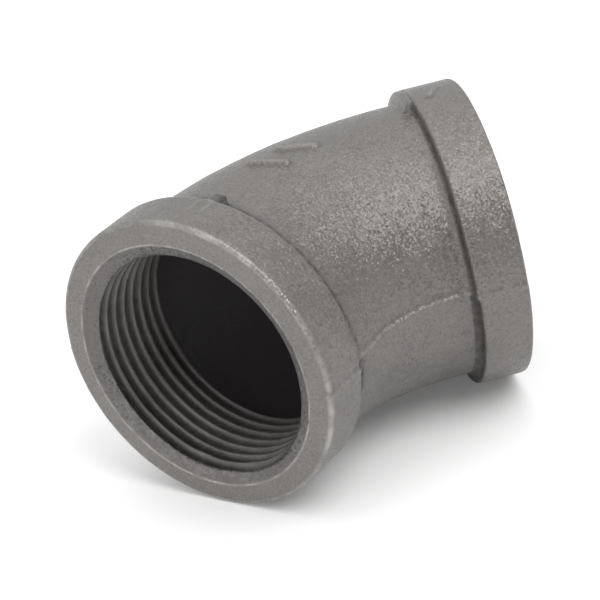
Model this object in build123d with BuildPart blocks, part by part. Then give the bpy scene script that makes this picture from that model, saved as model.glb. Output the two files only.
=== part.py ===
from build123d import *
from build123d.topology import SkipClean
import os
from math import radians, tan, sin, cos

os.makedirs("parts", exist_ok=True)

# ---------------------------------------------------------------------------
# 45 degree banded pipe elbow, 1 1/4 in (DN 32), both ends internally threaded
# Rp 1 1/4 (parallel, 11 threads per inch, 55 degree Whitworth form).
#
# Frame: millimetres, +Z up. The origin is on port A's axis, in the middle of
# its threaded socket. Port A opens along -X, port B opens along +X/-Y at 45
# degrees to +X, so the bend lies in the XY plane and its inside is on the -Y
# side. The two port axes cross on the +X axis.
# ---------------------------------------------------------------------------

# Overall
BEND_ANGLE = 45.0            # change of direction of the pipe run
CENTRE_TO_FACE = 33.0        # from the axis crossing to each end face

# Casting, outside
BODY_R = 24.2                # tube between the two bands
BEND_TANGENT = 21.5          # axis crossing to the start of the curved tube
BEND_R = BEND_TANGENT / tan(radians(BEND_ANGLE / 2))
# Reinforcing band at each end. As cast, the two differ a little: port A's is
# longer and rounder, port B's has crisper corners.
BAND_R_A, BAND_R_B = 26.35, 26.5
BAND_LENGTH_A, BAND_LENGTH_B = 9.6, 8.5
FACE_EDGE_R_A, FACE_EDGE_R_B = 0.85, 0.4     # outer corner at the end face
BACK_EDGE_R_A, BACK_EDGE_R_B = 0.8, 0.5      # outer corner at the band's back
ROOT_R_A, ROOT_R_B = 0.75, 0.5               # fillet where the back meets the tube

# Casting, inside
CHAMBER_R = 21.5             # open chamber behind the threads
SHOULDER_DEPTH = 18.0        # from the end face to the chamber
ORIGIN_DEPTH = SHOULDER_DEPTH / 2  # from port A's end face to the origin

# Thread Rp 1 1/4
PITCH = 2.309
MINOR_R = 38.952 / 2
MAJOR_R = 41.910 / 2
FLANK_HALF_ANGLE = 27.5
CREST_FLAT = 0.385           # land left between two turns at the minor radius
LEAD_CHAMFER_R = 22.3        # lead-in countersink, radius at the end face
LEAD_CHAMFER_DEPTH = 1.75    # depth at which it meets the minor radius
THREAD_PHASE = -90.0         # the groove starts on the inside of the bend
GROOVE_START_DEPTH = 19.81   # inner start, inside the chamber
GROOVE_TURNS = 10            # the last turns run out through the lead-in chamfer
CUTTER_OVERLAP = 0.2         # the groove cutter reaches inwards past the minor radius

# Cast details
FLASH_HALF_WIDTH = 0.22      # parting line ridge in the plane of the bend
FLASH_HEIGHT = 0.22
MARK_RISE_BODY = 0.42        # plain raised cast marks on the upper side
MARK_RISE_BAND = 0.32
MARK_WIDTH = 1.2
BAR_WIDTH = 2.2              # bar that runs off the back of port A's band
PAD_BACK = 22.8              # thickened pad behind port B's band, on the upper side:
PAD_START, PAD_END = 1.5, 42.0   # its back from the crossing, and its arc from the top

# Port directions, and the plane of each port: z out of the mouth
dir_a = Vector(-1, 0, 0)
dir_b = Vector(cos(radians(BEND_ANGLE)), -sin(radians(BEND_ANGLE)), 0)
crossing = Vector(CENTRE_TO_FACE - ORIGIN_DEPTH, 0, 0)
tangent_a = crossing + dir_a * BEND_TANGENT
bend_centre = tangent_a - Vector(0, BEND_R, 0)
bend_axis = Axis(bend_centre, (0, 0, -1))
outward_b = Vector(sin(radians(BEND_ANGLE)), cos(radians(BEND_ANGLE)), 0)

port_a_plane = Plane(origin=crossing + dir_a * CENTRE_TO_FACE, x_dir=(0, 0, 1), z_dir=dir_a)
port_b_plane = Plane(origin=crossing + dir_b * CENTRE_TO_FACE, x_dir=(0, 0, -1), z_dir=dir_b)
port_planes = [port_a_plane, port_b_plane]
bands = [
    (BAND_R_A, BAND_LENGTH_A, FACE_EDGE_R_A, BACK_EDGE_R_A, ROOT_R_A),
    (BAND_R_B, BAND_LENGTH_B, FACE_EDGE_R_B, BACK_EDGE_R_B, ROOT_R_B),
]


def half_profile_plane(port):
    """Plane that holds a port's half section: x is the radius, y points out of the mouth."""
    return Plane(origin=port.origin, x_dir=port.x_dir, z_dir=port.x_dir.cross(port.z_dir))


# ---------------------------------------------------------------------------
# Chamber: the cored hollow between the two threads
# ---------------------------------------------------------------------------
inner_a = Plane(origin=crossing + dir_a * (CENTRE_TO_FACE - SHOULDER_DEPTH), z_dir=-dir_a)
inner_b = Plane(origin=crossing + dir_b * (CENTRE_TO_FACE - SHOULDER_DEPTH), z_dir=-dir_b)

with BuildPart() as chamber:
    with BuildSketch(Plane(origin=tangent_a, x_dir=(0, 1, 0), z_dir=(1, 0, 0))):
        Circle(CHAMBER_R)
    revolve(axis=bend_axis, revolution_arc=BEND_ANGLE)
    split(bisect_by=inner_a, keep=Keep.TOP)
    split(bisect_by=inner_b, keep=Keep.TOP)

# ---------------------------------------------------------------------------
# Bore with its lead-in chamfer, as four quarter turns in a port's own frame
# ---------------------------------------------------------------------------
lead_slope = (LEAD_CHAMFER_R - MINOR_R) / LEAD_CHAMFER_DEPTH
quarter_bores = []
for quarter_turn in range(4):
    with BuildPart() as quarter_bore:
        with BuildSketch(Plane.XZ.rotated((0, 0, 45 + 90 * quarter_turn))):
            Polygon(
                (0, 1.0),
                (LEAD_CHAMFER_R + lead_slope, 1.0),
                (MINOR_R, -LEAD_CHAMFER_DEPTH),
                (MINOR_R, -SHOULDER_DEPTH),
                (0, -SHOULDER_DEPTH),
                align=None,
            )
        revolve(axis=Axis.Z, revolution_arc=90)
    quarter_bores.append(quarter_bore.part)

# ---------------------------------------------------------------------------
# Thread groove, in a port's own frame: z = 0 is the end face, +z out of it.
# One turn is swept along its helix; the thread is that turn repeated.
# ---------------------------------------------------------------------------
groove_depth = MAJOR_R - MINOR_R
flank_slope = tan(radians(FLANK_HALF_ANGLE))
mouth_half = (PITCH - CREST_FLAT) / 2
root_half = mouth_half - groove_depth * flank_slope
inner_half = mouth_half + CUTTER_OVERLAP * flank_slope

with BuildPart() as groove_turn:
    with BuildLine() as one_turn:
        Helix(pitch=PITCH, height=PITCH, radius=MINOR_R)
    with BuildSketch(Plane(origin=one_turn.line @ 0, x_dir=(1, 0, 0), z_dir=one_turn.line % 0)):
        Polygon(
            (-CUTTER_OVERLAP, -inner_half),
            (groove_depth, -root_half),
            (groove_depth, root_half),
            (-CUTTER_OVERLAP, inner_half),
            align=None,
        )
    sweep(path=one_turn.line, is_frenet=True)

groove_start = Location((0, 0, -GROOVE_START_DEPTH), (0, 0, THREAD_PHASE))
thread_turns = [
    groove_start * Pos(0, 0, PITCH * turn) * groove_turn.part for turn in range(GROOVE_TURNS)
]

# ---------------------------------------------------------------------------
# Plain raised marks on the upper side, each cut off a little above the surface
# it stands on. They are set out from the point where the port axes cross.
# ---------------------------------------------------------------------------
marks_plane = Plane(origin=crossing + Vector(0, 0, BODY_R - 4.0))

with BuildPart() as body_marks:
    with BuildSketch(Plane(origin=tangent_a, x_dir=(0, 1, 0), z_dir=(1, 0, 0))):
        Circle(BODY_R + MARK_RISE_BODY)
    revolve(axis=bend_axis, revolution_arc=BEND_ANGLE)
    with BuildSketch(marks_plane):
        with Locations(Location((-5.8, -2.6), -75.4), Location((0.4, -4.2), -68.3)):
            SlotOverall(7.4, MARK_WIDTH)
    extrude(amount=10.0, mode=Mode.INTERSECT)

with BuildPart() as bar_a:
    with BuildSketch(port_a_plane):
        Circle(BAND_R_A + MARK_RISE_BAND)
    extrude(amount=-14.0)
    with BuildSketch(marks_plane):
        with Locations(Location((-24.4, -3.6), -3)):
            SlotOverall(7.8, BAR_WIDTH)
    extrude(amount=10.0, mode=Mode.INTERSECT)

with BuildPart() as mark_b:
    with BuildSketch(port_b_plane):
        Circle(BAND_R_B + MARK_RISE_BAND)
    extrude(amount=-14.0)
    with BuildSketch(marks_plane):
        with Locations(Location((20.2, -19.6), 12)):
            SlotOverall(4.4, MARK_WIDTH)
    extrude(amount=10.0, mode=Mode.INTERSECT)

# ---------------------------------------------------------------------------
# Elbow casting
# ---------------------------------------------------------------------------
with BuildPart() as elbow_casting:
    # curved tube
    with BuildSketch(Plane(origin=tangent_a, x_dir=(0, 1, 0), z_dir=(1, 0, 0))):
        Circle(BODY_R)
    revolve(axis=bend_axis, revolution_arc=BEND_ANGLE)

    # straight end of the tube with its band, turned about each port's axis
    for port, (band_r, band_length, face_edge_r, back_edge_r, root_r) in zip(port_planes, bands):
        with BuildSketch(half_profile_plane(port)) as band_section:
            with BuildLine():
                back = -band_length
                tube_end = BEND_TANGENT - CENTRE_TO_FACE
                root = Line((0, tube_end), (BODY_R, tube_end))
                Line((BODY_R, tube_end), (BODY_R, back - root_r))
                RadiusArc((BODY_R, back - root_r), (BODY_R + root_r, back), root_r)
                Line((BODY_R + root_r, back), (band_r - back_edge_r, back))
                RadiusArc(
                    (band_r - back_edge_r, back),
                    (band_r, back + back_edge_r),
                    -back_edge_r,
                )
                Line((band_r, back + back_edge_r), (band_r, -face_edge_r))
                RadiusArc(
                    (band_r, -face_edge_r),
                    (band_r - face_edge_r, 0),
                    -face_edge_r,
                )
                Line((band_r - face_edge_r, 0), (0, 0))
                Line((0, 0), (0, tube_end))
            make_face()
        revolve(axis=Axis(port.origin, port.z_dir), revolution_arc=360)

    # parting line flash, a thin ridge in the plane of the bend on both sides
    # of the tube, from band to band
    with BuildSketch(Plane.XY.offset(-FLASH_HALF_WIDTH)):
        with BuildLine():
            r_in = BEND_R - BODY_R - FLASH_HEIGHT
            r_out = BEND_R + BODY_R + FLASH_HEIGHT
            run_a = CENTRE_TO_FACE - BAND_LENGTH_A + 0.3 - BEND_TANGENT
            run_b = CENTRE_TO_FACE - BAND_LENGTH_B + 0.3 - BEND_TANGENT
            inner = CenterArc(bend_centre, r_in, 90 - BEND_ANGLE, BEND_ANGLE)
            outer = CenterArc(bend_centre, r_out, 90 - BEND_ANGLE, BEND_ANGLE)
            Polyline(inner @ 1, (inner @ 1) + dir_a * run_a, (outer @ 1) + dir_a * run_a, outer @ 1)
            Polyline(inner @ 0, (inner @ 0) + dir_b * run_b, (outer @ 0) + dir_b * run_b, outer @ 0)
        make_face()
    extrude(amount=2 * FLASH_HALF_WIDTH)

    # pad behind port B's band, turned about the port's axis
    pad_angle = radians(PAD_END)
    pad_x = Vector(0, 0, 1) * cos(pad_angle) + outward_b * sin(pad_angle)
    with BuildSketch(Plane(origin=port_b_plane.origin, x_dir=pad_x, z_dir=pad_x.cross(dir_b))):
        back = PAD_BACK - CENTRE_TO_FACE
        Polygon(
            (BODY_R - 1.0, back),
            (BODY_R + 0.2, back),
            (BODY_R + 1.1, back + 0.45),
            (BAND_R_B - 0.45, back + 1.1),
            (BAND_R_B - 0.1, back + 1.9),
            (BAND_R_B - 0.1, back + 3.2),
            (BODY_R - 1.0, back + 3.2),
            align=None,
        )
    revolve(axis=Axis(port_b_plane.origin, dir_b), revolution_arc=PAD_END - PAD_START)

    add(body_marks.part)
    add(bar_a.part)
    add(mark_b.part)

    # Bores, chamber and threads. The faces are kept as they are cut, because
    # the thread's crest has to stay in short lands on the minor cylinder.
    with SkipClean():
        for port in port_planes:
            for quarter in quarter_bores:
                add(port.location * quarter, mode=Mode.SUBTRACT, clean=False)
        add(chamber.part, mode=Mode.SUBTRACT, clean=False)
        for port in port_planes:
            for turn in thread_turns:
                add(port.location * turn, mode=Mode.SUBTRACT, clean=False)

elbow_casting.part.label = "elbow_casting"
export_step(elbow_casting.part, "parts/elbow_casting.step")
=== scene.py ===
import math

import bmesh
import bpy
import numpy as np
from mathutils import Matrix, Vector, noise


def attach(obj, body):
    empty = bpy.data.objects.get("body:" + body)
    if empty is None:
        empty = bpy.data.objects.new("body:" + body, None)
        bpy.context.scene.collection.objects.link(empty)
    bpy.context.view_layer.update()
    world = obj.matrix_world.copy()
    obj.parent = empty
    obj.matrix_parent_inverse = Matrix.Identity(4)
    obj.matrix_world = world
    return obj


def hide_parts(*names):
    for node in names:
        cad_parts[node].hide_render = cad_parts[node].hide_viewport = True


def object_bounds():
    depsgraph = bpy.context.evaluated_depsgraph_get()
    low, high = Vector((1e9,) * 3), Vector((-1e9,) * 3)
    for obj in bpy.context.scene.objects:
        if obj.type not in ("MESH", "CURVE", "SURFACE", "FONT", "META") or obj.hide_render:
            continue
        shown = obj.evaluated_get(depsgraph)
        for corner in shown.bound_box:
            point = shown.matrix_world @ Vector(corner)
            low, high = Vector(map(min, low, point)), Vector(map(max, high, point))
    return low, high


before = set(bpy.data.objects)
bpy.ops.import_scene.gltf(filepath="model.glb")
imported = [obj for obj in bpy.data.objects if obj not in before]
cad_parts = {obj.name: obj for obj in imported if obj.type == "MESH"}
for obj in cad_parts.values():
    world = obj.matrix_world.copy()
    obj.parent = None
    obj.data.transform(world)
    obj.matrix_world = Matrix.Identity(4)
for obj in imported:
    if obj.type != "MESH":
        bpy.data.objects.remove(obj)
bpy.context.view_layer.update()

# ---------------------------------------------------------------------------
# Dimensions in millimetres, the same as the CAD node's. Everything is built
# about the point where the two port axes cross, then moved to the row frame,
# whose origin is on port A's axis, 9 mm in from its end face.
# ---------------------------------------------------------------------------
BEND = math.radians(45.0)
C = 33.0                      # axis crossing to end face
CROSSING = np.array([C - 9.0, 0.0, 0.0])
BODY_R = 24.2
TAN = 21.5                    # axis crossing to the start of the curved tube
BEND_R = TAN / math.tan(BEND / 2)
BAND_R_A, BAND_R_B = 26.38, 26.3
BAND_LENGTH_A, BAND_LENGTH_B = 9.6, 8.5
CHAMBER_R = 21.5
SHOULDER = 18.0
PITCH = 2.309
MINOR_R = 19.476
MAJOR_R = 20.955
LEAD_R, LEAD_DEPTH = 22.3, 1.75
CREST_FLAT = 0.385
START_DEPTH = 19.81

PI, TAU = math.pi, 2 * math.pi
Z = np.array([0.0, 0.0, 1.0])


def smooth(x, lo, hi):
    t = np.clip((x - lo) / (hi - lo), 0, 1)
    return t * t * (3 - 2 * t)


def bump_at(x, middle, half, edge):
    """1 within half of the middle, falling to 0 over edge."""
    return 1 - smooth(np.abs(x - middle), half, half + edge)


def perlin(points, size, seed):
    """Perlin noise in about -1..1 at each point, with features about size mm across."""
    q = points.reshape(-1, 3) / size + np.array([17.3, 41.7, 5.9]) * seed
    return np.array([noise.noise(Vector(p)) for p in q]).reshape(points.shape[:-1])


# ---------------------------------------------------------------------------
# Outside of the casting: rings along the run, columns round it.
# Column angle 0 is the top (+Z), 90 degrees the outside of the bend and 270
# degrees its inside.
# ---------------------------------------------------------------------------
def column_angles(count):
    """Angles round the tube, closer together at the parting lines and under the raised marks on top."""
    a = np.linspace(0, TAU, 72001)
    deg = np.degrees(a)
    top = np.minimum(deg, 360 - deg)
    seam = np.minimum(abs(deg - 90), abs(deg - 270))
    spacing = 0.62 - 0.31 * (1 - smooth(top, 20, 27)) - 0.48 * (1 - smooth(seam, 1.4, 6.0))
    density = np.concatenate([[0], np.cumsum(1 / spacing[:-1])])
    return np.interp(np.arange(count) / count * density[-1], density, a)


NC = 318
theta = column_angles(NC)
deg = np.degrees(theta)
signed = (deg + 180) % 360 - 180                    # -90 is the inside of the bend
lower = smooth(np.abs(signed), 88.5, 91.5)          # 1 in the lower mould half
inner_seam = bump_at(signed, -90, 3, 16)


def band_block(length, band_r, face_edge, back_edge, centre_shift, outward, root_up, root_low, long_up, tube_rows):
    """Distance along the port's axis, radius and in-plane shift of each ring and column, from the end face back to the curved tube.
    The two mould halves differ a little: long_up lengthens the upper half's band, and each half has its own root fillet."""
    back = C - length - long_up * (1 - lower) + 0.25 * lower
    root = root_up + (root_low - root_up) * lower
    ts, rs, kind = [], [], []

    def row(t, r, k):
        ts.append(np.broadcast_to(t, theta.shape).astype(float))
        rs.append(np.broadcast_to(r, theta.shape).astype(float))
        kind.append(k)

    for r in (22.62, 23.2, 23.9, 24.6, min(25.3, band_r - face_edge - 0.25)):
        row(C, r, "face")
    for a in np.linspace(0, PI / 2, 7):
        row(C - face_edge * (1 - math.cos(a)), band_r - face_edge * (1 - math.sin(a)), "edge")
    for u in np.linspace(0, 1, 19)[1:-1]:
        row((C - face_edge) * (1 - u) + (back + back_edge) * u, band_r, "band")
    for a in np.linspace(0, PI / 2, 6):
        row(back + back_edge * (1 - math.sin(a)), band_r - back_edge * (1 - math.cos(a)), "back")
    for a in np.linspace(0, PI / 2, 6):
        row(back - root * (1 - math.cos(a)), BODY_R + root * (1 - math.sin(a)), "root")
    for u in np.linspace(0, 1, tube_rows + 1)[1:]:
        row((back - root) * (1 - u) + TAN * u, BODY_R, "tube")
    t, r = np.array(ts), np.array(rs)
    # the casting sits slightly off the machined bore, but the face meets the bore where it should
    share = smooth(r, 22.6, 25.0) * smooth(t, TAN + 1.0, TAN + 3.2)
    shift = share[..., None] * (centre_shift[0] * outward + centre_shift[1] * Z)
    return t, r, shift, kind


ea = np.array([0.0, 1.0, 0.0])
eb = np.array([math.sin(BEND), math.cos(BEND), 0.0])
da = np.array([-1.0, 0.0, 0.0])
db = np.array([math.cos(BEND), -math.sin(BEND), 0.0])
bend_centre = np.array([-TAN, -BEND_R, 0.0])

ta, ra, sa, kind_a = band_block(BAND_LENGTH_A, BAND_R_A, 0.85, 0.75, (-0.30, 0.30), ea, 0.55, 1.15, 0.05 + 0.55 * inner_seam, 3)
tb, rb, sb, kind_b = band_block(BAND_LENGTH_B, BAND_R_B, 0.35, 0.35, (-0.75, 0.35), eb, 0.32, 1.05, 0.25, 8)

# curved tube: rings a little closer together under the marks
arc = np.linspace(0, BEND_R * BEND, 4001)
spacing = 0.50 - 0.19 * bump_at(arc, 19.3, 6.0, 2.0)
density = np.concatenate([[0], np.cumsum(1 / spacing[:-1])])
ARC_ROWS = 98
arc_s = np.interp(np.arange(1, ARC_ROWS) / ARC_ROWS * density[-1], density, arc)

radial_a = np.cos(theta)[:, None] * Z + np.sin(theta)[:, None] * ea
radial_b = np.cos(theta)[:, None] * Z + np.sin(theta)[:, None] * eb
parts_p, parts_c, parts_run = [], [], []
block_a = ta[..., None] * da + ra[..., None] * radial_a[None] + sa
parts_p.append(block_a)
parts_run.append(TAN - ta)
arc_p, arc_run = [], []
for s in arc_s:
    f = s / BEND_R
    e = np.array([math.sin(f), math.cos(f), 0.0])
    arc_p.append(bend_centre + BEND_R * e + BODY_R * (np.cos(theta)[:, None] * Z + np.sin(theta)[:, None] * e))
    arc_run.append(np.full(NC, s))
parts_p.append(np.array(arc_p))
parts_run.append(np.array(arc_run))
block_b = tb[..., None] * db + rb[..., None] * radial_b[None] + sb
parts_p.append(block_b[::-1])
parts_run.append((BEND_R * BEND + tb - TAN)[::-1])
P = np.concatenate(parts_p)
run = np.concatenate(parts_run)
kinds = np.array(kind_a + ["tube"] * (ARC_ROWS - 1) + kind_b[::-1])
NR = len(P)
NA, NB = len(ta), len(tb)


def grid_normals(p):
    """Normals of a grid that closes round its columns."""
    du = np.roll(p, -1, 1) - np.roll(p, 1, 1)
    dv = np.empty_like(p)
    dv[1:-1] = p[2:] - p[:-2]
    dv[0] = p[1] - p[0]
    dv[-1] = p[-1] - p[-2]
    n = np.cross(du, dv)
    return n / np.maximum(np.linalg.norm(n, axis=2, keepdims=True), 1e-12)


def is_kind(*names):
    return np.isin(kinds, names).astype(float)[:, None]


centre_line = np.concatenate([ta[..., None] * da, np.array([bend_centre + BEND_R * np.array([math.sin(s / BEND_R), math.cos(s / BEND_R), 0.0]) for s in arc_s])[:, None, :].repeat(NC, 1), (tb[..., None] * db)[::-1]])
radial = P - centre_line
radial /= np.linalg.norm(radial, axis=2, keepdims=True)

# --- pad behind port B's band, and the bar that runs off port A's band -------
t_b = P @ db
t_a = P @ da
r_now = np.linalg.norm(P - centre_line, axis=2)
sig = signed[None, :]
in_b = np.zeros((NR, 1)); in_b[-NB:] = 1
ragged = perlin(np.stack([t_b, np.broadcast_to(sig, t_b.shape) * 0.45, t_b * 0], -1), 1.6, 21)
pad_w = smooth(sig, -1.4 + 0.5 * ragged, -0.2 + 0.5 * ragged) * (1 - smooth(sig, 38, 45))
pad_r = BODY_R + (BAND_R_B - 0.03 - BODY_R) * smooth(t_b + 0.12 * ragged, 22.25, 23.75)
lift = np.maximum(pad_r * pad_w + BODY_R * (1 - pad_w) - r_now, 0) * in_b * is_kind("tube", "root", "back")
P = P + radial * lift[..., None]
pad_edge = lift

y_mid = -3.45 + 0.02 * (t_a - 24)
near_top = (P[..., 2] > 10) & (t_a > 17) & (t_a < 31)
ragged_a = perlin(P, 1.3, 22)
half_w = 0.82 + 0.10 * ragged_a
across = 1 - smooth(np.abs(P[..., 1] - y_mid), half_w, half_w + 0.55)
along_bar = smooth(t_a, 20.35, 21.05) * (1 - smooth(t_a, 27.8, 28.5))
r_axis_a = np.hypot(P[..., 1], P[..., 2])
top_r = np.where(t_a > 23.9, BAND_R_A + 0.30, BAND_R_A + 0.05 - 0.10 * (23.9 - t_a))
lift = np.maximum((top_r - r_axis_a), 0) * across * along_bar * near_top
P = P + lift[..., None] * radial
bar_edge = across * (1 - across) * 4 * along_bar * near_top

N = grid_normals(P)
if (N * radial).sum(2).mean() < 0:
    N = -N

# --- as-cast surface ----------------------------------------------------------
face_row = is_kind("face")
near_face = np.clip(is_kind("face") + is_kind("edge") * 0.6, 0, 1)
quiet = 1 - 0.72 * near_face
lump = perlin(P, 11.0, 1)
mid = perlin(P, 3.6, 2)
fine = perlin(P, 1.55, 3)
tiny = perlin(P, 0.85, 4)
D = (0.060 * lump + 0.040 * mid + 0.016 * fine + 0.010 * tiny) * quiet
# a few shallow pits and stuck sand grains
spots = perlin(P, 1.9, 12)
D += (-0.10 * smooth(spots, 0.56, 0.74) + 0.07 * smooth(-spots, 0.60, 0.78)) * quiet * (1 - near_face)

# --- parting line: a thin, broken ridge where the mould halves met, which do
#     not quite line up ---------------------------------------------------------
side = np.sign(np.sin(theta))[None, :] * np.ones((NR, 1))
line_at = np.stack([run, side * 37.0, run * 0], -1)
z = P[..., 2]
inner = side < 0
offset = np.where(inner, -1.35 * (1 - smooth(run, 2.5, 17.0)) + 0.78 * smooth(run, 12, 33), 0.0)
wander = offset + 0.17 * perlin(line_at, 3.1, 5) + 0.09 * perlin(line_at, 0.9, 15)
rag = perlin(line_at + np.array([0, 0, 1.0]) * 0.6 * z[..., None], 1.0, 6)
big = perlin(line_at, 4.2, 16)
height = np.clip(0.24 + 0.24 * rag + 0.12 * big, 0.0, None)
height *= 1 - 0.72 * is_kind("band", "edge") - face_row
width = 0.27 + 0.06 * big
ridge = height * np.exp(-(((z - wander) / width) ** 2))
step = 0.15 * (1 - smooth(z - wander, -0.28, 0.12)) * np.exp(-((np.minimum(z, 0) / 9.0) ** 2)) * (1 - face_row) * (1 - 0.5 * is_kind("band", "edge"))
D += ridge + step
seam_attr = np.clip(ridge / 0.22, 0, 1)
# painted shadow in a narrow band just above the parting line
above = np.exp(-(((z - wander - 0.75) / 0.42) ** 2)) * (1 - face_row) * smooth(rag, -0.5, 0.3)


def bar(x, y, turn, length, width, soft=0.22):
    """1 on a round-ended bar seen from above, falling to 0 at its edge."""
    t = math.radians(turn)
    u = (P[..., 0] - x) * math.cos(t) + (P[..., 1] - y) * math.sin(t)
    v = -(P[..., 0] - x) * math.sin(t) + (P[..., 1] - y) * math.cos(t)
    d = np.hypot(np.maximum(abs(u) - (length - width) / 2, 0), v) - width / 2
    return (1 - smooth(d + 0.06 * fine, -soft, soft)) * (P[..., 2] > 15)


marks = 0.55 * np.maximum(bar(-5.8, -2.6, -75.4, 7.4, 1.2), bar(0.4, -4.2, -68.3, 7.4, 1.2))
marks += 0.40 * bar(20.2, -19.6, 12, 4.4, 1.2) * is_kind("band")
D += marks
outer = P + N * D[..., None]
# painted shade in a ring round each mark
around = np.maximum(bar(-5.8, -2.6, -75.4, 8.6, 2.4, 0.5), bar(0.4, -4.2, -68.3, 8.6, 2.4, 0.5))
around = np.maximum(around, bar(20.2, -19.6, 12, 5.4, 2.2, 0.5) * is_kind("band"))
around = around * (1 - smooth(marks, 0.1, 0.3))

# Lighter, glossier edges: a painted highlight along port A's outer face edge, fainter on port B's, mixed with edge
# wear; band A's back edge, the tops of the marks and the bar's edges are lighter too.
corner = np.sin(np.linspace(0, PI, 7))
wear = np.zeros((NR, 1))
wear[5:12, 0] = corner
wear[-12:-5, 0] = 0.35 * corner
patchy = perlin(P, 2.6, 31)
wear = wear * (0.45 + 0.55 * smooth(patchy + 0.5 * perlin(P, 0.9, 32), -0.25, 0.35))
wear[:NA] += 0.25 * is_kind("back")[:NA]
wear = np.clip(wear + 0.25 * smooth(marks, 0.2, 0.45) + 0.4 * bar_edge, 0, 1)
in_a = np.zeros((NR, 1)); in_a[:NA] = 1
# Painted shade with some grime: dark in the root fillets, on band B's back edge, on the tube just past band A where
# the band hides it from the camera, in a band above the parting line, round the marks, and at the feet of the pad
# and the bar.
dirt = is_kind("root") * np.ones((1, NC))
back_b = is_kind("back") * in_b
dirt = np.maximum(dirt, back_b * (1 - smooth(r_now, 26.15, 26.4)))
# how far each point of the tube lies past where band A hides it from the camera; the painted shade fades out from
# there
behind_a = 1.5 / np.maximum(0.3, -0.55 * np.sin(theta) + 0.45 * np.cos(theta))[None, :]
behind_a = 23.4 - t_a - np.minimum(behind_a, 3.4) + 0.25 * perlin(P, 1.4, 34)
dirt = np.maximum(dirt, is_kind("tube") * (0.9 * (1 - smooth(behind_a, 0.1, 0.75)) + 0.25 * (1 - smooth(behind_a, 0.4, 2.4))) * (t_a > 17))
dirt = np.maximum(dirt, 0.45 * above)
dirt = dirt * (1 - 0.9 * seam_attr)
dirt = np.maximum(dirt, is_kind("tube") * in_b * 0.55 * (1 - smooth(24.4 - t_b, 0.35, 0.9)))
dirt = np.maximum(dirt, 0.55 * around)
# the root at the pad and the bar is filled, so the painted shade lies at their feet
dirt = dirt * (1 - smooth(pad_w, 0.5, 0.9) * in_b)
# painted shade at the foot of the bar, and on the next line at the foot of the pad
foot = smooth(across * along_bar * near_top, 0.02, 0.25) * (1 - smooth(across, 0.3, 0.6)) * (t_a < 24.2)
dirt = np.clip(dirt + 0.9 * foot + 0.6 * smooth(pad_w, 0.02, 0.2) * (1 - smooth(pad_w, 0.35, 0.7)) * in_b * (t_b > 22.3) * is_kind("tube", "root", "back"), 0, 1)

# ---------------------------------------------------------------------------
# Port: lead-in chamfer and thread, in the port's own frame (z out of the mouth)
# ---------------------------------------------------------------------------
NT = 192
tt = np.arange(NT) / NT * TAU
mouth_half = (PITCH - CREST_FLAT) / 2
slope = math.tan(math.radians(27.5))


def soft_min(a, b, k):
    h = np.clip(0.5 + 0.5 * (b - a) / k, 0, 1)
    return b * (1 - h) + a * h - k * h * (1 - h)


def thread_radius(distance, zz):
    """Radius of the thread at a distance along the axis from a groove's centre. The last part turn fades out."""
    w = (distance + PITCH / 2) % PITCH - PITCH / 2
    fade = 1 - smooth(zz - w, -1.95, -1.30)
    w = np.abs(w)
    flank = MINOR_R + (mouth_half - w) / slope
    r = soft_min(flank, np.full_like(flank, MAJOR_R), 0.24)
    r = -soft_min(-r, np.full_like(flank, -MINOR_R), 0.20)
    return MINOR_R + (r - MINOR_R) * fade


def opening(zz):
    """How far the thread opens towards the mouth, as a worn tap leaves it."""
    return np.clip(zz + 13.0, 0, None) / 32


def cone_radius(zz):
    return LEAD_R + zz * (LEAD_R - MINOR_R) / LEAD_DEPTH


groove_z = -START_DEPTH + PITCH * (tt + PI / 2) / TAU
step_w = np.array([-0.22, 0.0, 0.22, 0.55, 0.86, 1.0, 1.1545, 1.309, 1.449, 1.759])
turns = np.arange(-1, 10)
offsets = (turns[:, None] * PITCH + step_w[None, :]).ravel()
TOP = -0.14
zr = groove_z[None, :] + offsets[:, None]           # rings follow the helix
keep = (zr[:, 0] + PITCH > -SHOULDER) & (zr[:, 0] < TOP)
zr = np.vstack([np.full((1, NT), -SHOULDER), np.clip(zr[keep], -SHOULDER, TOP), np.full((1, NT), TOP)])

# points next to a crossing of thread and chamfer are moved onto it, so that edge is clean
fine_z = np.linspace(-2.75, TOP, 1400)
for i in range(NT):
    diff = thread_radius(fine_z - groove_z[i], fine_z) + opening(fine_z) - cone_radius(fine_z)
    cross = np.nonzero(np.sign(diff[1:]) != np.sign(diff[:-1]))[0]
    for c in cross:
        zx = (fine_z[c] + fine_z[c + 1]) / 2
        free = np.nonzero((zr[:, i] > -SHOULDER) & (zr[:, i] < TOP))[0]
        if len(free):
            j = free[np.argmin(abs(zr[free, i] - zx))]
            if abs(zr[j, i] - zx) < 0.16:
                zr[j, i] = zx
rr = np.maximum(thread_radius(zr - groove_z[None, :], zr) + opening(zr), cone_radius(zr))
# one turn on, a ring meets the ring one pitch further out
wrap = np.minimum(np.arange(len(zr)) + len(step_w), len(zr) - 1)
wrap = np.concatenate([wrap, len(zr) + np.arange(3)])
lip = [(-0.07, LEAD_R - 0.10), (-0.015, LEAD_R + 0.03), (0.0, LEAD_R + 0.16)]
zr = np.vstack([zr] + [np.full((1, NT), a) for a, b in lip])
rr = np.vstack([rr] + [np.full((1, NT), b) for a, b in lip])
port_a = np.stack([-(C + zr), rr * np.sin(tt)[None, :], rr * np.cos(tt)[None, :]], -1)
on_cone = (np.abs(rr - cone_radius(zr)) < 0.02).astype(float)
inward = 0.020 * perlin(port_a, 1.1, 7) + 0.022 * perlin(port_a, 3.0, 8)
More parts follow.
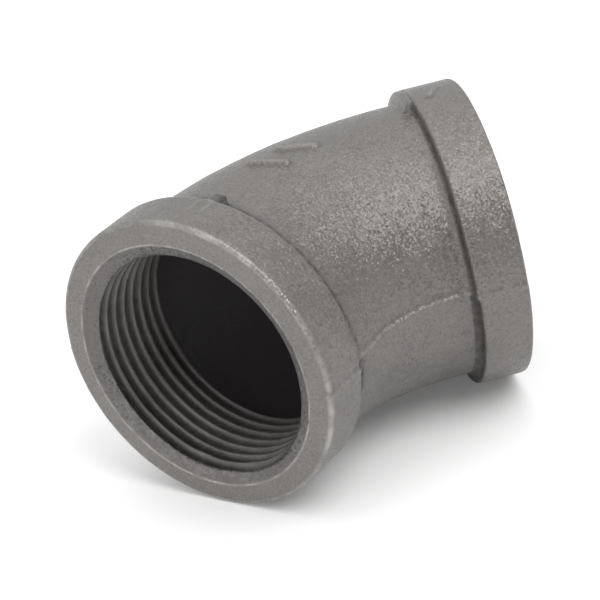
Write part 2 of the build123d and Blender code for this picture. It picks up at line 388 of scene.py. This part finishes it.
# chatter and burrs where the tap first bit, low on the near side of the mouth
round_mm = (tt[None, :] - 2.75) * 20.0
start_zone = (1 - smooth(np.abs(round_mm), 9, 22)) * smooth(zr, -7.5, -4.0)
streak = perlin(np.stack([zr * 0 + round_mm * 0.22, zr * 1.9, zr * 0], -1), 1.0, 41)
inward += start_zone * 0.16 * streak
shallow = start_zone * 0.32 * np.clip(rr - MINOR_R - opening(zr), 0, None) * (1 - on_cone)
shallow[-3:] = 0
inward += shallow
# torn crests here and there, as a tap leaves them
crest = smooth(MINOR_R + 0.32 - rr, 0.0, 0.25)
inward += crest * 0.12 * smooth(perlin(port_a * np.array([0.35, 1, 1]), 2.2, 9), 0.35, 0.7)
inward[-3:] *= 0.5
port_a[..., 1] += inward * np.sin(tt)
port_a[..., 2] += inward * np.cos(tt)
# painted shade down in the grooves of the thread
port_dirt = smooth(rr, MINOR_R + 0.35, MAJOR_R - 0.1) * (1 - on_cone)
# lighter thread crests and a lighter lip between face and chamfer: wear and painted highlight
port_wear = np.clip(crest * 0.5, 0, 1) * (1 - on_cone)
port_dirt[-3:] = 0
port_wear[-3:] = 0.25 + 0.5 * smooth(perlin(port_a[-3:], 2.4, 33), -0.3, 0.3)
port_wear = np.clip(port_wear + 0.35 * start_zone * on_cone * smooth(perlin(port_a, 1.2, 42), -0.1, 0.4), 0, 1)
# dark streaks in the chatter where the tap first bit
port_dirt = np.clip(port_dirt + 0.6 * start_zone * (1 - on_cone) * smooth(-streak, 0.25, 0.6), 0, 1)
port_zone = 1.0 - on_cone
port_zone[-3:] = 0
# painted shade, darker deeper into the bore
deep = smooth(-zr, 8.0, 17.5)

mdir = np.array([-math.sin(BEND / 2), -math.cos(BEND / 2), 0])   # halves the bend, towards its inside
HALF_TURN = 2 * np.outer(mdir, mdir) - np.eye(3)
port_b = port_a @ HALF_TURN.T

# ---------------------------------------------------------------------------
# Chamber between the two threads
# ---------------------------------------------------------------------------
d_in = C - SHOULDER
psi = tt
phi_a = np.arcsin((TAN - d_in) / (BEND_R + CHAMBER_R * np.sin(psi)))
NCH = 16
ph = phi_a[None, :] + (BEND - 2 * phi_a)[None, :] * np.linspace(0, 1, NCH)[:, None]
rho = BEND_R + CHAMBER_R * np.sin(psi)[None, :]
chamber = np.stack([bend_centre[0] + rho * np.sin(ph), bend_centre[1] + rho * np.cos(ph), np.broadcast_to(CHAMBER_R * np.cos(psi)[None, :], ph.shape)], -1)
rough_in = 0.16 * perlin(chamber, 6.0, 9) + 0.09 * perlin(chamber, 2.4, 10)
rough_in[0] = rough_in[-1] = 0
tube_n = np.stack([np.sin(psi)[None, :] * np.sin(ph), np.sin(psi)[None, :] * np.cos(ph), np.broadcast_to(np.cos(psi)[None, :], ph.shape)], -1)
chamber = chamber + tube_n * rough_in[..., None]

# ---------------------------------------------------------------------------
# One closed mesh, with what the material needs to know stored on its points
# ---------------------------------------------------------------------------
verts, faces = [], []
data = {"zone": [], "wear": [], "dirt": [], "seam": [], "deep": [], "cut": []}
count = 0


def add_grid(p, wrap=None, **values):
    """Adds a grid's points and faces and returns its index grid. wrap names the row that each row meets
    where the last column joins the first."""
    global count
    n, m = p.shape[:2]
    idx = np.arange(n * m).reshape(n, m) + count
    count += n * m
    verts.append(p.reshape(-1, 3))
    for key, store in data.items():
        store.append(np.broadcast_to(values.get(key, 0.0), (n, m)).reshape(-1).astype(float))
    beside = np.roll(idx, -1, 1)
    if wrap is not None:
        beside[:, -1] = idx[wrap, 0]
    quads = np.stack([idx[:-1], beside[:-1], beside[1:], idx[1:]], -1).reshape(-1, 4)
    faces.extend([q[:2] + q[3:] if q[1] == q[2] else q for q in quads.tolist()])
    return idx


def stitch(ring_p, ring_q, ang_p, ang_q):
    """Triangles between two closed rings with different numbers of points, both in rising angle."""
    n, m = len(ring_p), len(ring_q)
    i = j = 0
    while i < n or j < m:
        ai = ang_p[(i + 1) % n] + (TAU if i + 1 >= n else 0)
        aj = ang_q[(j + 1) % m] + (TAU if j + 1 >= m else 0)
        if j >= m or (i < n and ai <= aj):
            faces.append([int(ring_p[i % n]), int(ring_p[(i + 1) % n]), int(ring_q[j % m])])
            i += 1
        else:
            faces.append([int(ring_p[i % n]), int(ring_q[(j + 1) % m]), int(ring_q[j % m])])
            j += 1


out_idx = add_grid(outer, zone=0.0, wear=wear, dirt=dirt, seam=seam_attr)
a_idx = add_grid(port_a, wrap, zone=port_zone, wear=port_wear, dirt=port_dirt, deep=deep, cut=on_cone)
b_idx = add_grid(port_b, wrap, zone=port_zone, wear=port_wear, dirt=port_dirt, deep=deep, cut=on_cone)
c_idx = add_grid(chamber, zone=2.0, deep=1.0)
stitch(out_idx[0], a_idx[-1], theta, tt)
flip = (NT // 2 - np.arange(NT)) % NT               # port B's columns run the other way round
stitch(out_idx[-1], b_idx[-1][flip], theta, tt)
for one, other in ((a_idx[0], c_idx[0]), (b_idx[0][flip], c_idx[-1])):
    for i in range(NT):
        k = (i + 1) % NT
        faces.append([int(one[i]), int(one[k]), int(other[k]), int(other[i])])

V = (np.vstack(verts) + CROSSING) * 0.001
mesh = bpy.data.meshes.new("elbow_casting_skin")
mesh.from_pydata(V.tolist(), [], faces)
for key, store in data.items():
    layer = mesh.attributes.new(key, "FLOAT", "POINT")
    layer.data.foreach_set("value", np.concatenate(store).astype(np.float32))
bm = bmesh.new()
bm.from_mesh(mesh)
bmesh.ops.remove_doubles(bm, verts=bm.verts, dist=2e-6)
bmesh.ops.dissolve_degenerate(bm, dist=1e-6, edges=bm.edges)
bmesh.ops.recalc_face_normals(bm, faces=bm.faces)
if bm.calc_volume(signed=True) < 0:
    bmesh.ops.reverse_faces(bm, faces=bm.faces)
for f in bm.faces:
    f.smooth = True
open_edges = sum(1 for e in bm.edges if len(e.link_faces) != 2)
tris = sum(len(f.verts) - 2 for f in bm.faces)
print("SKIN open edges", open_edges, "volume cm3", round(bm.calc_volume() * 1e6, 3), "triangles", tris)
bm.to_mesh(mesh)
bm.free()
mesh.update()

skin = bpy.data.objects.new("elbow_casting_skin", mesh)
bpy.context.scene.collection.objects.link(skin)
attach(skin, "root")
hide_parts("elbow_casting")

# ---------------------------------------------------------------------------
# Material: black malleable iron, sandy and as cast outside, machined and darker inside, with painted shade in the
# bores and chamber
# ---------------------------------------------------------------------------
mat = bpy.data.materials.new("black_malleable_iron")
mat.use_nodes = True
nt = mat.node_tree
nt.nodes.clear()


def link(a, b):
    nt.links.new(a, b)


def maths(op, a, b=None, clamp=False):
    n = nt.nodes.new("ShaderNodeMath")
    n.operation = op
    n.use_clamp = clamp
    for i, v in enumerate((a, b)):
        if v is None:
            continue
        if isinstance(v, (int, float)):
            n.inputs[i].default_value = v
        else:
            link(v, n.inputs[i])
    return n.outputs[0]


def ramp(value, lo, hi, a=0.0, b=1.0):
    n = nt.nodes.new("ShaderNodeMapRange")
    n.interpolation_type = "SMOOTHSTEP"
    link(value, n.inputs["Value"])
    n.inputs["From Min"].default_value = lo
    n.inputs["From Max"].default_value = hi
    n.inputs["To Min"].default_value = a
    n.inputs["To Max"].default_value = b
    return n.outputs["Result"]


def mix_colour(fac, a, b):
    n = nt.nodes.new("ShaderNodeMix")
    n.data_type = "RGBA"
    if isinstance(fac, (int, float)):
        n.inputs[0].default_value = fac
    else:
        link(fac, n.inputs[0])
    for i, v in ((6, a), (7, b)):
        if isinstance(v, tuple):
            n.inputs[i].default_value = (*v, 1.0)
        else:
            link(v, n.inputs[i])
    return n.outputs[2]


def mix_value(fac, a, b):
    """a where fac is 0 and b where it is 1."""
    return maths("ADD", maths("MULTIPLY", a, maths("SUBTRACT", 1.0, fac)), maths("MULTIPLY", b, fac))


coord = nt.nodes.new("ShaderNodeTexCoord").outputs["Object"]


def noise_tex(size_mm, detail=2.0, rough=0.5):
    n = nt.nodes.new("ShaderNodeTexNoise")
    link(coord, n.inputs["Vector"])
    n.inputs["Scale"].default_value = 1000.0 / size_mm
    n.inputs["Detail"].default_value = detail
    n.inputs["Roughness"].default_value = rough
    return n.outputs["Fac"]


def cells(size_mm, feature="F1"):
    n = nt.nodes.new("ShaderNodeTexVoronoi")
    n.feature = feature
    link(coord, n.inputs["Vector"])
    n.inputs["Scale"].default_value = 1000.0 / size_mm
    return n


def point_value(name):
    n = nt.nodes.new("ShaderNodeAttribute")
    n.attribute_name = name
    return n.outputs["Fac"]


zone = point_value("zone")
worn = point_value("wear")
dirty = point_value("dirt")
seam = point_value("seam")
deep_in = point_value("deep")
is_port = maths("MULTIPLY", ramp(zone, 0.3, 0.7), ramp(zone, 1.2, 1.8, 1.0, 0.0))
is_chamber = ramp(zone, 1.2, 1.8)
is_cast = ramp(zone, 0.1, 0.6, 1.0, 0.0)

grain = noise_tex(0.50, 1.5, 0.5)                   # sand grains, about 0.4 mm apart
coarse = noise_tex(1.4, 2.0, 0.5)
patch = noise_tex(6.5, 4.0, 0.6)
cloud = noise_tex(19.0, 3.0, 0.55)
speck = cells(0.62).outputs["Distance"]
flake = cells(0.30).outputs["Color"]
flake_r = nt.nodes.new("ShaderNodeSeparateColor")
link(flake, flake_r.inputs[0])

base = mix_colour(ramp(patch, 0.34, 0.68), (0.152, 0.143, 0.137), (0.184, 0.174, 0.167))
base = mix_colour(ramp(cloud, 0.40, 0.62, 0.0, 0.40), base, (0.162, 0.148, 0.138))
base = mix_colour(ramp(grain, 0.40, 0.68, 0.0, 0.40), base, (0.232, 0.222, 0.214))
base = mix_colour(ramp(flake_r.outputs[0], 0.0, 1.0, 0.0, 0.26), base, (0.270, 0.259, 0.249))
base = mix_colour(ramp(flake_r.outputs[1], 0.4, 1.0, 0.0, 0.24), base, (0.080, 0.073, 0.068))
base = mix_colour(ramp(speck, 0.0, 0.15, 0.22, 0.0), base, (0.080, 0.073, 0.068))
# painted highlight and wear: lighter along the light-catching, worn edges
base = mix_colour(maths("MULTIPLY", worn, ramp(patch, 0.30, 0.60, 0.35, 0.75)), base, (0.44, 0.43, 0.41))
base = mix_colour(maths("MULTIPLY", seam, ramp(grain, 0.35, 0.60, 0.0, 0.45)), base, (0.44, 0.43, 0.41))
# painted shade with some grime: darker in the roots and creases
base = mix_colour(maths("MULTIPLY", dirty, ramp(coarse, 0.30, 0.60, 0.45, 0.80)), base, (0.030, 0.026, 0.024))
port_col = mix_colour(ramp(patch, 0.35, 0.65), (0.118, 0.112, 0.109), (0.160, 0.153, 0.149))
# lighter crests and lip: wear and painted highlight
port_col = mix_colour(maths("MULTIPLY", worn, ramp(coarse, 0.35, 0.6, 0.3, 0.8)), port_col, (0.27, 0.264, 0.256))
# painted shade in the thread grooves, and the dark chatter streaks
port_col = mix_colour(maths("MULTIPLY", dirty, ramp(coarse, 0.3, 0.6, 0.7, 0.95)), port_col, (0.030, 0.026, 0.024))
# painted shade: the thread darker deeper into the bore
port_col = mix_colour(maths("MULTIPLY", deep_in, 0.6), port_col, (0.030, 0.026, 0.024))
# painted shade: the lead-in chamfer a little darker than the face
base = mix_colour(maths("MULTIPLY", point_value("cut"), 0.45), base, (0.092, 0.087, 0.085))
base = mix_colour(is_port, base, port_col)
# near-black inside the chamber: black scale, made dark enough to stand in for the shade in there too
base = mix_colour(is_chamber, base, (0.034, 0.028, 0.032))

rough = maths("ADD", ramp(grain, 0.3, 0.7, 0.35, 0.46), ramp(patch, 0.3, 0.7, -0.03, 0.04))
rough = maths("SUBTRACT", rough, maths("MULTIPLY", worn, 0.06))
rough = maths("ADD", rough, maths("MULTIPLY", dirty, 0.12))
rough = mix_value(is_port, rough, 0.42)
rough = maths("ADD", rough, maths("MULTIPLY", is_chamber, 0.25), clamp=True)

metal = mix_value(worn, 0.50, 0.6)
metal = maths("MULTIPLY", metal, maths("SUBTRACT", 1.0, maths("MULTIPLY", dirty, 0.8)), clamp=True)
metal = maths("MULTIPLY", metal, maths("SUBTRACT", 1.0, is_chamber), clamp=True)

height = maths("ADD", maths("MULTIPLY", grain, 0.08), maths("MULTIPLY", coarse, 0.07))
height = maths("ADD", height, maths("MULTIPLY", flake_r.outputs[0], 0.0))
height = maths("MULTIPLY", height, maths("ADD", 0.16, maths("MULTIPLY", is_cast, 0.84)))
height = maths("MULTIPLY", height, maths("SUBTRACT", 1.0, maths("MULTIPLY", worn, 0.5)))
bump = nt.nodes.new("ShaderNodeBump")
bump.inputs["Strength"].default_value = 1.0
bump.inputs["Distance"].default_value = 0.001
link(height, bump.inputs["Height"])



def tilt(normal, size_mm, amount):
    """Turns the normal a little in each small cell, like the facets of grains."""
    offset = nt.nodes.new("ShaderNodeVectorMath")
    offset.operation = "SUBTRACT"
    link(cells(size_mm).outputs["Color"], offset.inputs[0])
    offset.inputs[1].default_value = (0.5, 0.5, 0.5)
    scaled = nt.nodes.new("ShaderNodeVectorMath")
    scaled.operation = "SCALE"
    link(offset.outputs[0], scaled.inputs[0])
    link(amount, scaled.inputs["Scale"])
    total = nt.nodes.new("ShaderNodeVectorMath")
    total.operation = "ADD"
    link(normal, total.inputs[0])
    link(scaled.outputs[0], total.inputs[1])
    unit = nt.nodes.new("ShaderNodeVectorMath")
    unit.operation = "NORMALIZE"
    link(total.outputs[0], unit.inputs[0])
    return unit.outputs[0]


facet = maths("MULTIPLY", maths("ADD", 0.25, maths("MULTIPLY", is_cast, 0.75)), ramp(coarse, 0.25, 0.65, 0.55, 1.15))
normal = tilt(bump.outputs["Normal"], 0.26, maths("MULTIPLY", facet, 0.47))
normal = tilt(normal, 0.52, maths("MULTIPLY", facet, 0.13))

bsdf = nt.nodes.new("ShaderNodeBsdfPrincipled")
bsdf.inputs["Specular IOR Level"].default_value = 0.5
link(metal, bsdf.inputs["Metallic"])
link(base, bsdf.inputs["Base Color"])
link(rough, bsdf.inputs["Roughness"])
link(normal, bsdf.inputs["Normal"])
out = nt.nodes.new("ShaderNodeOutputMaterial")
link(bsdf.outputs[0], out.inputs["Surface"])
skin.data.materials.append(mat)

# ---------------------------------------------------------------------------
# Floor, light and camera
# ---------------------------------------------------------------------------
lo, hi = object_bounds()
floor_z = lo.z - 0.00005
fm = bpy.data.meshes.new("studio_floor")
fm.from_pydata([(-3, -3, floor_z), (3, -3, floor_z), (3, 3, floor_z), (-3, 3, floor_z)], [], [(0, 1, 2, 3)])
floor = bpy.data.objects.new("studio_floor", fm)
bpy.context.scene.collection.objects.link(floor)
fmat = bpy.data.materials.new("pale_floor")
fmat.use_nodes = True
fb = fmat.node_tree.nodes["Principled BSDF"]
fb.inputs["Base Color"].default_value = (0.94, 0.94, 0.94, 1)
fb.inputs["Roughness"].default_value = 0.9
fb.inputs["Specular IOR Level"].default_value = 0.1
fb.inputs["Emission Color"].default_value = (1, 1, 1, 1)
fb.inputs["Emission Strength"].default_value = 0.08
floor.data.materials.append(fmat)

world = bpy.data.worlds.new("studio")
bpy.context.scene.world = world
world.use_nodes = True
wt = world.node_tree
background = wt.nodes["Background"]
background.inputs["Color"].default_value = (1, 1, 1, 1)
# an even white tent, darker in front where the camera stands
direction = wt.nodes.new("ShaderNodeTexCoord").outputs["Generated"]
towards = wt.nodes.new("ShaderNodeVectorMath")
towards.operation = "DOT_PRODUCT"
wt.links.new(direction, towards.inputs[0])
towards.inputs[1].default_value = (-0.40, -0.90, 0.12)
fade = wt.nodes.new("ShaderNodeMapRange")
fade.interpolation_type = "SMOOTHSTEP"
wt.links.new(towards.outputs["Value"], fade.inputs["Value"])
fade.inputs["From Min"].default_value = 0.45
fade.inputs["From Max"].default_value = 0.92
fade.inputs["To Min"].default_value = 0.87
fade.inputs["To Max"].default_value = 0.10
wt.links.new(fade.outputs["Result"], background.inputs["Strength"])

middle = Vector(CROSSING * 0.001)


def softbox(name, azimuth, elevation, distance, size, power, colour=(1, 1, 1)):
    """A round soft light aimed at the elbow. Azimuth is from +X towards +Y, in degrees."""
    light = bpy.data.lights.new(name, "AREA")
    light.shape = "DISK"
    light.size = size
    light.energy = power
    light.color = colour
    ob = bpy.data.objects.new(name, light)
    a, e = math.radians(azimuth), math.radians(elevation)
    d = Vector((math.cos(e) * math.cos(a), math.cos(e) * math.sin(a), math.sin(e)))
    ob.location = middle + d * distance
    ob.rotation_euler = (-d).to_track_quat("-Z", "Y").to_euler()
    bpy.context.scene.collection.objects.link(ob)
    return ob


softbox("key", -101, 54, 0.9, 0.66, 4.2)
softbox("top", 45, 75, 1.2, 1.2, 3.0)
softbox("left", 172, 10, 1.1, 0.9, 2.3)

CAM_R = ((0.53464809, 0.47489778, -0.69901610, -0.23554564),
         (-0.82530184, 0.11553541, -0.55274628, -0.20379317),
         (-0.18173687, 0.87242402, 0.45370479, 0.16298395),
         (0.00000000, 0.00000000, 0.00000000, 1.00000000))
cam_data = bpy.data.cameras.new("camera")
cam = bpy.data.objects.new("camera", cam_data)
bpy.context.scene.collection.objects.link(cam)
cam_data.sensor_width = 36.0
cam_data.lens = 127.6545
cam_data.clip_start, cam_data.clip_end = 0.01, 20.0
cam.matrix_world = Matrix(CAM_R)
bpy.context.scene.camera = cam
bpy.context.scene.view_settings.view_transform = "Standard"
bpy.context.scene.view_settings.look = "None"
